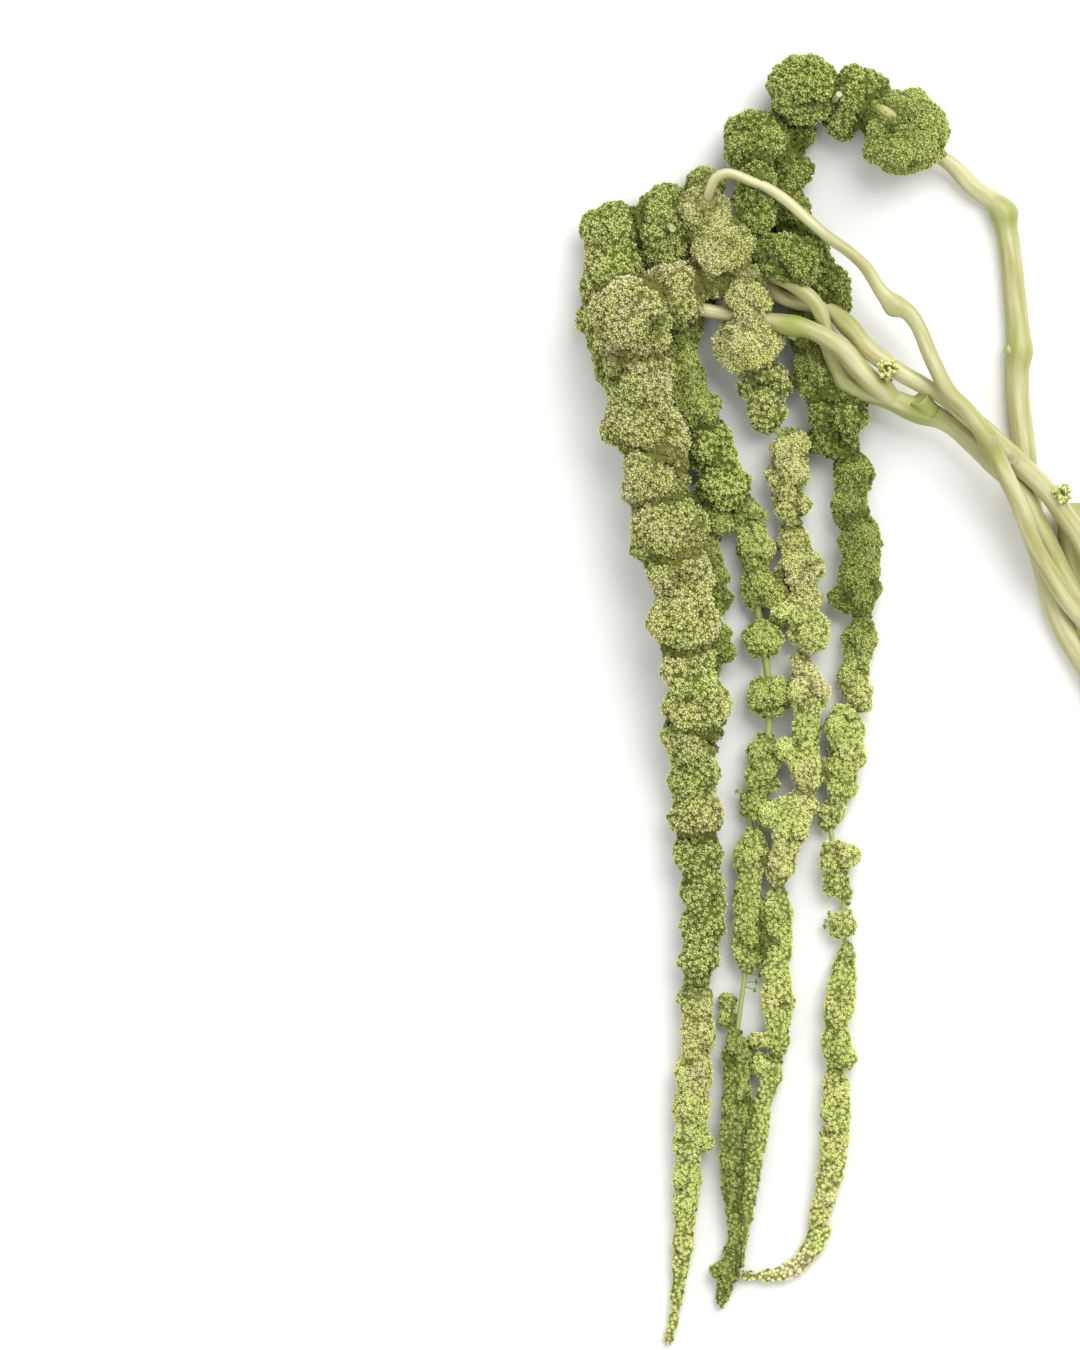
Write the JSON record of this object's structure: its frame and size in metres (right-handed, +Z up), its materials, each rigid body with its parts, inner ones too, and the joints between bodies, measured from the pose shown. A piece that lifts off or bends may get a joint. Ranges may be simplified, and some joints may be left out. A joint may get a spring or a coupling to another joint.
{
  "type": "cut branch of green hanging amaranth",
  "caption": "Leafless cut stalk of hanging amaranth lying on its side, with forked branches and long drooping tassels of tiny green flowers.",
  "frame": {"origin": "on the table, under the middle of the cutting's bounding box", "axes": "+Z up from the table, +Y along the cutting from the tassel tips to the top of the arch, +X from the tassels to the cut stalk"},
  "size_m": [0.3386, 0.582, 0.0557],
  "materials": {
    "stem": "smooth pale yellow-green living stem with fine lengthwise ribs, satin",
    "pale_flowers": "dense tiny flowers, straw-yellow to lime at the tips, dark green between them, matt",
    "green_flowers": "dense tiny flowers, fresh olive green, dark between them, matt"
  },
  "bodies": {
    "root": {"main_stalk": "stem", "arch_branch": "stem", "forked_branch": "stem", "crossing_branch": "stem", "loop_branch": "stem", "loop_side_flowers": "green_flowers", "middle_tassel_flowers_01": "pale_flowers", "middle_tassel_flowers_02": "pale_flowers", "middle_tassel_flowers_03": "pale_flowers", "middle_tassel_flowers_04": "pale_flowers", "middle_tassel_flowers_05": "pale_flowers", "middle_tassel_flowers_06": "pale_flowers", "middle_tassel_flowers_07": "pale_flowers", "middle_tassel_flowers_08": "pale_flowers", "middle_tassel_flowers_09": "pale_flowers", "front_tassel_flowers_01": "pale_flowers", "front_tassel_flowers_02": "pale_flowers", "front_tassel_flowers_03": "pale_flowers", "front_tassel_flowers_04": "pale_flowers", "front_tassel_flowers_05": "pale_flowers", "front_tassel_flowers_06": "pale_flowers", "front_tassel_flowers_07": "pale_flowers", "front_tassel_flowers_08": "pale_flowers", "front_tassel_flowers_09": "pale_flowers", "front_tassel_flowers_10": "pale_flowers", "crossing_side_flowers": "green_flowers", "inner_tassel_flowers_01": "green_flowers", "inner_tassel_flowers_02": "green_flowers", "inner_tassel_flowers_03": "green_flowers", "inner_tassel_flowers_04": "green_flowers", "inner_tassel_flowers_05": "green_flowers", "inner_tassel_flowers_06": "green_flowers", "inner_tassel_flowers_07": "green_flowers", "inner_tassel_flowers_08": "green_flowers", "inner_tassel_flowers_09": "green_flowers", "back_tassel_flowers_01": "green_flowers", "back_tassel_flowers_02": "green_flowers", "back_tassel_flowers_03": "green_flowers", "back_tassel_flowers_04": "green_flowers", "back_tassel_flowers_05": "green_flowers", "back_tassel_flowers_06": "green_flowers", "arch_tassel_flowers_01": "green_flowers", "arch_tassel_flowers_02": "green_flowers", "arch_tassel_flowers_03": "green_flowers", "arch_tassel_flowers_04": "green_flowers", "arch_tassel_flowers_05": "green_flowers", "arch_tassel_flowers_06": "green_flowers", "arch_tassel_flowers_07": "green_flowers", "arch_tassel_flowers_08": "green_flowers", "arch_tassel_flowers_09": "green_flowers", "arch_tassel_flowers_10": "green_flowers", "arch_tassel_flowers_11": "green_flowers", "arch_tassel_flowers_12": "green_flowers", "arch_tassel_flowers_13": "green_flowers", "arch_tassel_flowers_14": "green_flowers", "arch_tassel_flowers_15": "green_flowers", "arch_tassel_flowers_16": "green_flowers", "fork_sprig_flowers": "green_flowers", "stub_sprig_flowers": "green_flowers"}
  },
  "joints": []
}
